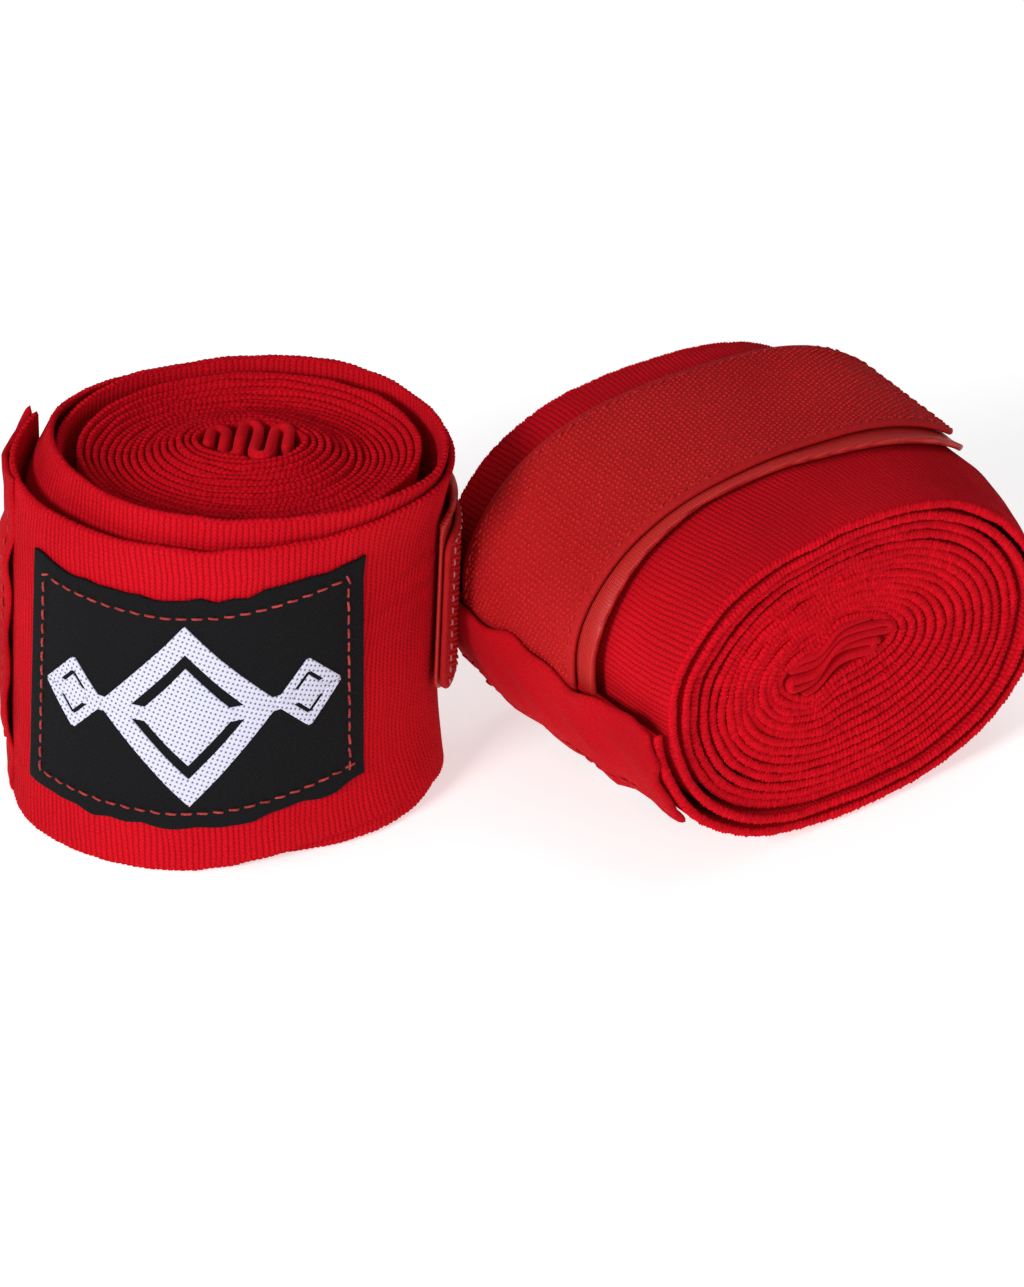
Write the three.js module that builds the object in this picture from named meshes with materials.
// A pair of rolled boxing hand wraps, in millimetres, +Z up. One roll stands on its lower edge and the
// other lies on its side next to it. Each roll is one knitted band wound into an oval spiral. A hook
// strap is sewn into the hem at the band's outer end and lies around the roll.
import * as THREE from 'three';

// ---- Driving sizes ----
const bandWidth = 50;            // knitted band, edge to edge
const bandLength = 1680;         // band as it lies in the roll, unstretched
const bandThickness = 0.62;
const play = 0.3;                // gap between layers that lie on each other
const facingLength = 16;         // doubled hem at the band's outer end
const facingThickness = 0.8;
const webbingWidth = 25;
const webbingThickness = 0.9;
const strapLength = 79;          // from the hem to the tip of the tab
const rootLength = 13;           // part of the strap sewn inside the hem
const peelAt = 43;               // where the tab bends away from the strap
const tapeOverhang = 3.5;        // how far the tape under the webbing shows at one side
const labelWidth = 45;
const labelHeight = 35;
const labelThickness = 0.5;
const labelSetback = 23;         // from the hem to the label
const labelRise = 6.6;           // from the band's lower edge to the label
const threadWidth = 0.5;
const threadThickness = 0.3;
const seamInset = 2.2;           // from an edge to the seam beside it
const loopTapeWidth = 27;        // tape of the thumb loop
const loopTapeThickness = 0.7;
const emblemLength = 36;
const emblemBar = 2.2;           // height of the bar that joins the emblem's diamonds
const stationsPerTurn = 20;      // straight facets in one turn of the spiral

// ---- Layers, as distances from the middle of the outermost band layer ----
const bandFace = bandThickness / 2;
const webbingInner = bandFace + play;
const webbingOuter = webbingInner + webbingThickness;
const facingInner = webbingOuter + play;
const facingOuter = facingInner + facingThickness;
const labelInner = bandFace + play;
const labelOuter = labelInner + labelThickness;
const labelClearance = labelOuter + threadThickness + play - bandFace;   // lifts a strap over the label

// ---- Finishes ----
const finish = (color, roughness) => new THREE.MeshStandardMaterial({ color, roughness, metalness: 0 });
const knitRed = finish(0xbe1524, 0.9);
const facingRed = finish(0xae1220, 0.92);
const webbingRed = finish(0xb11c24, 0.8);
const tapeRed = finish(0xb8121f, 0.55);
const loopRed = finish(0xa81119, 0.9);
const threadRed = finish(0xa01c26, 0.7);
const threadPale = finish(0xd9a0a4, 0.7);
const labelBlack = finish(0x1d1d20, 0.85);
const emblemWhite = finish(0xdcdcec, 0.6);

// ---- The path that everything on a roll follows ----
// Stations are counted in millimetres past the hem: below zero on the band, above zero on the strap.
function ovalPerimeter(long, short) {
  const h = ((long - short) / (long + short)) ** 2;
  return Math.PI * (long + short) * (1 + (3 * h) / (10 + Math.sqrt(4 - 3 * h)));
}

function swell(turnsBeforeHem, shape) {
  const { rise, peak, fall, height } = shape;
  if (turnsBeforeHem > rise || turnsBeforeHem < -fall) return 0;
  const span = turnsBeforeHem > peak ? rise - peak : fall + peak;
  return (height * (1 + Math.cos((Math.PI * (turnsBeforeHem - peak)) / span))) / 2;
}

// Below the hem the path is the band's own spiral. Past the hem it is the strap's, which also clears
// the slack band and the label where it reaches them.
function windingPath(roll) {
  const meanLong = (roll.coreLong + roll.outerLong) / 2;
  const meanShort = (roll.coreShort + roll.outerShort) / 2;
  const turns = bandLength / ovalPerimeter(meanLong, meanShort);
  const pointAtStep = (step, lift) => {
    const share = 1 + step / stationsPerTurn / turns;
    const long = THREE.MathUtils.lerp(roll.coreLong, roll.outerLong, share);
    const short = THREE.MathUtils.lerp(roll.coreShort, roll.outerShort, share);
    const angle = roll.hemAngle - roll.ovalTurn - (2 * Math.PI * step) / stationsPerTurn;
    const normal = new THREE.Vector2(Math.cos(angle) / long, Math.sin(angle) / short).normalize();
    const point = new THREE.Vector2(long * Math.cos(angle), short * Math.sin(angle));
    return point.addScaledVector(normal, lift).rotateAround(new THREE.Vector2(), roll.ovalTurn);
  };

  const points = [];
  const first = -Math.floor(turns * stationsPerTurn);
  for (let step = first; step <= 0; step += 1) {
    points.push(pointAtStep(step, swell(-step / stationsPerTurn, roll.slack)));
  }
  const band = measuredPath(points, -first);
  const labelSteps = band.stations.filter((s) => s > -labelSetback - labelWidth).length;
  const strapTurns = strapLength / ovalPerimeter(roll.outerLong, roll.outerShort);
  const last = Math.ceil(strapTurns * stationsPerTurn) + 1;
  for (let step = 1; step <= last; step += 1) {
    const beneath = stationsPerTurn - step;
    const overLabel = beneath <= labelSteps ? labelClearance : 0;
    const slack = swell(-step / stationsPerTurn, roll.slack) + swell(beneath / stationsPerTurn, roll.slack);
    points.push(pointAtStep(step, slack + overLabel));
  }
  return { ...measuredPath(points, -first), turns };
}

function measuredPath(points, zeroIndex) {
  const stations = [0];
  for (let i = 1; i < points.length; i += 1) {
    stations.push(stations[i - 1] + points[i].distanceTo(points[i - 1]));
  }
  const zero = stations[zeroIndex];
  return { points, stations: stations.map((s) => s - zero) };
}

// A point at a station, moved outwards from the path by offset. At a corner it is mitred.
function facetNormal(path, i) {
  const along = path.points[i + 1].clone().sub(path.points[i]).normalize();
  return new THREE.Vector2(-along.y, along.x);
}

function pointAt(path, station, offset) {
  const { points, stations } = path;
  const nearEnough = 1e-6;
  let i = stations.findIndex((s) => s > station + nearEnough) - 1;
  if (i < 0) i = points.length - 2;
  const share = (station - stations[i]) / (stations[i + 1] - stations[i]);
  const normal = facetNormal(path, i);
  const point = points[i].clone().lerp(points[i + 1], share);
  if (share < nearEnough && i > 0) {
    const before = facetNormal(path, i - 1);
    return point.addScaledVector(before.clone().add(normal), offset / (1 + before.dot(normal)));
  }
  if (share > 1 - nearEnough && i + 2 < points.length) {
    const after = facetNormal(path, i + 1);
    return point.addScaledVector(after.clone().add(normal), offset / (1 + after.dot(normal)));
  }
  return point.addScaledVector(normal, offset);
}

// The path's own corners between two stations, with the two ends and any extra stations.
function stationsBetween(path, from, to, extra = []) {
  const inside = path.stations.filter((s) => s > from + threadWidth && s < to - threadWidth);
  return [from, ...inside, to, ...extra].sort((a, b) => a - b);
}

// ---- Solids on the path ----
// A rung joins the two edges of a strip, each given as a station and a height along the roll. The strip
// through the rungs lies between two offsets from the path.
function skin(path, rungs, inner, outer, closed = false) {
  const vertices = [];
  for (const [low, high] of rungs) {
    for (const [edge, offset] of [[low, inner], [low, outer], [high, outer], [high, inner]]) {
      const point = pointAt(path, edge[0], offset);
      vertices.push(point.x, point.y, edge[1]);
    }
  }
  const corners = 4;
  const count = rungs.length;
  const index = [];
  for (let i = 0; i < (closed ? count : count - 1); i += 1) {
    for (let c = 0; c < corners; c += 1) {
      const a = corners * i + c;
      const b = corners * i + ((c + 1) % corners);
      const next = corners * ((i + 1) % count) - corners * i;
      index.push(a, b, b + next, a, b + next, a + next);
    }
  }
  if (!closed) {
    const end = corners * (count - 1);
    index.push(0, 3, 2, 0, 2, 1, end, end + 1, end + 2, end, end + 2, end + 3);
  }
  const geometry = new THREE.BufferGeometry();
  geometry.setAttribute('position', new THREE.Float32BufferAttribute(vertices, 3));
  geometry.setIndex(index);
  geometry.computeVertexNormals();
  return geometry;
}

function strip(path, from, to, inner, outer, low, high) {
  const rungs = stationsBetween(path, from, to).map((s) => [[s, low(s)], [s, high(s)]]);
  return skin(path, rungs, inner, outer);
}

// A seam follows a line of corners on the roll's surface, each a station and a height. Straight runs
// along the roll's turn get a rung at each of the path's corners.
function seam(path, corners, offset, closed = false) {
  const line = [];
  const last = closed ? corners.length : corners.length - 1;
  for (let i = 0; i < last; i += 1) {
    const a = corners[i];
    const b = corners[(i + 1) % corners.length];
    const stops = stationsBetween(path, Math.min(a[0], b[0]), Math.max(a[0], b[0])).slice(1, -1);
    if (b[0] < a[0]) stops.reverse();
    line.push(a);
    for (const s of stops) {
      line.push([s, THREE.MathUtils.mapLinear(s, a[0], b[0], a[1], b[1])]);
    }
  }
  if (!closed) line.push(corners[corners.length - 1]);
  const rungs = line.map((here, i) => {
    const before = line[closed ? (i + line.length - 1) % line.length : Math.max(i - 1, 0)];
    const after = line[closed ? (i + 1) % line.length : Math.min(i + 1, line.length - 1)];
    const side = mitre(before, here, after).multiplyScalar(threadWidth / 2);
    return [[here[0] - side.x, here[1] - side.y], [here[0] + side.x, here[1] + side.y]];
  });
  return skin(path, rungs, offset + play, offset + play + threadThickness, closed);
}

function mitre(before, here, after) {
  const sides = [];
  for (const [a, b] of [[before, here], [here, after]]) {
    const run = new THREE.Vector2(b[0] - a[0], b[1] - a[1]);
    if (run.length() > 0) sides.push(new THREE.Vector2(-run.y, run.x).normalize());
  }
  if (sides.length === 1) return sides[0];
  return sides[0].clone().add(sides[1]).divideScalar(1 + sides[0].dot(sides[1]));
}

// ---- Pieces ----
// How far each turn has slid along the roll. The outermost turn stays, the second stands proud, the
// middle is dished, and the core may stand proud again.
const rimRises = { from: 0.8, to: 1.0 };       // in turns from the hem
const rimFalls = { from: 1.9, to: 2.3 };
const coreRises = { from: 0.6, to: 0.85 };     // in shares of all the turns

function slide(path, station, telescope) {
  const depth = (station / path.stations[0]) * path.turns;
  const step = (at, range) => THREE.MathUtils.smoothstep(at, range.from, range.to);
  const rim = step(depth, rimRises) - step(depth, rimFalls) * (1 - telescope.dish);
  const core = step(depth / path.turns, coreRises) * telescope.core;
  return telescope.rim * (rim + core);
}

// The emblem is a bar with three diamonds on it, each as wide and as high as its reach and rise say.
const emblemDiamonds = [
  { at: 0, reach: 11, rise: 11 },
  { at: -15, reach: 4, rise: 5 },
  { at: 15, reach: 4, rise: 5 },
];

function emblemRungs(path) {
  const middle = -labelSetback - labelWidth / 2;
  const centre = labelRise + labelHeight / 2;
  const half = (station) => {
    const heights = emblemDiamonds.map(({ at, reach, rise }) => {
      return rise * (1 - Math.abs(station - middle - at) / reach);
    });
    return Math.max(emblemBar / 2, ...heights);
  };
  const tips = emblemDiamonds.flatMap(({ at, reach, rise }) => {
    const foot = reach * (1 - emblemBar / 2 / rise);
    return [middle + at - foot, middle + at, middle + at + foot];
  });
  const ends = [middle - emblemLength / 2, middle + emblemLength / 2];
  const stops = stationsBetween(path, ends[0], ends[1], tips);
  return stops.map((s) => [[s, centre - half(s)], [s, centre + half(s)]]);
}

// The thumb loop lies folded in the hollow at the roll's core.
const stationsPerFold = 4;

function thumbLoop(roll) {
  const clear = bandFace + play + loopTapeThickness / 2;
  const long = roll.coreLong - clear - loopTapeThickness;
  const short = roll.coreShort - clear - loopTapeThickness;
  const steps = roll.loopFolds * stationsPerFold;
  const points = [];
  for (let i = 0; i <= steps; i += 1) {
    const x = long * (2 * (i / steps) - 1);
    const reach = short * Math.sqrt(Math.max(1 - (x / (long + loopTapeThickness)) ** 2, 0));
    points.push(new THREE.Vector2(x, reach * Math.cos((Math.PI * roll.loopFolds * i) / steps)));
  }
  points.forEach((point) => point.rotateAround(new THREE.Vector2(), roll.ovalTurn));
  const path = measuredPath(points, 0);
  const half = loopTapeThickness / 2;
  const low = () => roll.loopTop - loopTapeWidth;
  return strip(path, 0, path.stations.at(-1), -half, half, low, () => roll.loopTop);
}

function piece(name, geometry, material, parent) {
  const mesh = new THREE.Mesh(geometry, material);
  mesh.name = name;
  geometry.translate(-parent.userData.pivot.x, -parent.userData.pivot.y, 0);
  parent.add(mesh);
}

// A hinge stands at the outer face of the webbing, where the strap bends.
function hingeGroup(name, path, station, parent) {
  const hinge = new THREE.Group();
  hinge.name = name;
  hinge.userData.pivot = pointAt(path, station, webbingOuter);
  const shift = hinge.userData.pivot.clone().sub(parent.userData.pivot);
  hinge.position.set(shift.x, shift.y, 0);
  parent.add(hinge);
  return hinge;
}

function handWrap(roll) {
  const path = windingPath(roll);
  const body = new THREE.Group();
  body.userData.pivot = new THREE.Vector2();
  const name = (what) => `${roll.name}_${what}`;
  const add = (what, geometry, material, parent = body) => piece(name(what), geometry, material, parent);

  const lower = (s) => slide(path, s, roll.telescope);
  const upper = (s) => lower(s) + bandWidth;
  add('band', strip(path, path.stations[0], -play, -bandFace, bandFace, lower, upper), knitRed);
  add('thumb_loop', thumbLoop(roll), loopRed);

  const facingEdge = () => play;
  const facingTop = () => bandWidth - play;
  const facing = strip(path, -facingLength, 0, facingInner, facingOuter, facingEdge, facingTop);
  add('end_facing', facing, facingRed);
  const hemRow = [[-seamInset, seamInset], [-seamInset, bandWidth - seamInset],
    [-facingLength + seamInset, bandWidth - seamInset], [-facingLength + seamInset, seamInset]];
  add('hem_stitching', seam(path, hemRow, facingOuter, true), threadRed);

  const label = { from: -labelSetback - labelWidth, to: -labelSetback };
  const labelTop = labelRise + labelHeight;
  const cloth = strip(path, label.from, label.to, labelInner, labelOuter, () => labelRise, () => labelTop);
  add('label', cloth, labelBlack);
  const border = [
    [label.from + seamInset, labelRise + seamInset],
    [label.to - seamInset, labelRise + seamInset],
    [label.to - seamInset, labelTop - seamInset],
    [label.from + seamInset, labelTop - seamInset],
  ];
  add('label_stitching', seam(path, border, labelOuter, true), threadRed);
  const emblemFace = labelOuter + play;
  add('label_emblem', skin(path, emblemRungs(path), emblemFace, emblemFace + threadThickness), emblemWhite);

  // The strap: webbing outside, a slightly wider tape inside, bending at the tab's hinge.
  const edge = (s) => roll.strapRise + (roll.strapDrift * s) / strapLength;
  const edgeTop = (s) => edge(s) + webbingWidth;
  const tapeTop = (s) => edgeTop(s) + tapeOverhang;
  const tab = hingeGroup(name('tab_hinge'), path, peelAt, body);
  const strapEnd = peelAt - play / 2;
  const tabStart = peelAt + play / 2;
  const webbing = (from, to) => strip(path, from, to, webbingInner, webbingOuter, edge, edgeTop);
  const tape = (from, to) => strip(path, from, to, -bandFace, bandFace, edge, tapeTop);
  add('strap_webbing', webbing(-rootLength, strapEnd), webbingRed);
  add('loop_tape', tape(play, strapEnd), tapeRed);
  add('tab_webbing', webbing(tabStart, strapLength), webbingRed, tab);
  add('hook_tape', tape(tabStart, strapLength - play), tapeRed, tab);
  const row = (s, side) => [s, side > 0 ? edgeTop(s) - seamInset : edge(s) + seamInset];
  const strapRow = [row(strapEnd - seamInset, 1), row(seamInset, 1), row(seamInset, -1),
    row(strapEnd - seamInset, -1)];
  add('strap_stitching', seam(path, strapRow, webbingOuter), threadPale);
  const tabRow = [row(tabStart + seamInset, -1), row(strapLength - seamInset, -1),
    row(strapLength - seamInset, 1), row(tabStart + seamInset, 1)];
  add('tab_stitching', seam(path, tabRow, webbingOuter), threadPale, tab);
  return body;
}

// ---- The two rolls ----
const degrees = Math.PI / 180;

const uprightRoll = {
  name: 'upright',
  coreLong: 6.9,
  coreShort: 4.5,
  outerLong: 25.6,
  outerShort: 21.2,
  ovalTurn: -5 * degrees,
  hemAngle: 160 * degrees,
  slack: { rise: 0.42, peak: 0.1, fall: 0.08, height: 5 },
  telescope: { rim: 3, dish: 0.15, core: 0.5 },
  strapRise: 11,
  strapDrift: 7,
  loopFolds: 5,
  loopTop: bandWidth + 1.2,
};

const lyingRoll = {
  name: 'lying',
  coreLong: 8.9,
  coreShort: 3.6,
  outerLong: 31.2,
  outerShort: 22.6,
  ovalTurn: -1.4 * degrees,
  hemAngle: 176 * degrees,
  slack: { rise: 0.2, peak: 0.04, fall: 0.09, height: 1 },
  telescope: { rim: 0.6, dish: 0.2, core: 0 },
  strapRise: 8.5,
  strapDrift: 0,
  loopFolds: 2,
  loopTop: bandWidth - 1,
};

// The lying roll's hem leans against the standing roll's side, with the standing roll's tab between.
// The two ovals touch beside their widest points, so their reaches lap a little.
const heading = 36 * degrees;
const lap = 0.45;
const hemReach = lyingRoll.outerLong + facingOuter + play + threadThickness;
const lyingPlace = { x: uprightRoll.outerLong + hemReach / Math.cos(heading) - lap, y: 9.8 };

const group = new THREE.Group();
group.name = 'hand_wraps';
const upright = handWrap(uprightRoll);
group.add(upright);

// The lying roll is made standing, tipped onto its side and turned about its own middle.
const lying = new THREE.Group();
lying.name = 'lying_wrap';
const tipped = handWrap(lyingRoll);
tipped.rotation.x = Math.PI / 2;
tipped.position.y = bandWidth / 2;
lying.add(tipped);
lying.rotation.z = heading;
lying.position.set(lyingPlace.x, lyingPlace.y, 0);
group.add(lying);

group.updateMatrixWorld(true);
lying.position.z = -new THREE.Box3().setFromObject(lying, true).min.z;

// The origin is under the middle of the pair, on the surface that it rests on.
group.updateMatrixWorld(true);
const middle = new THREE.Box3().setFromObject(group, true).getCenter(new THREE.Vector3());
group.position.set(-middle.x, -middle.y, 0);

export default group;
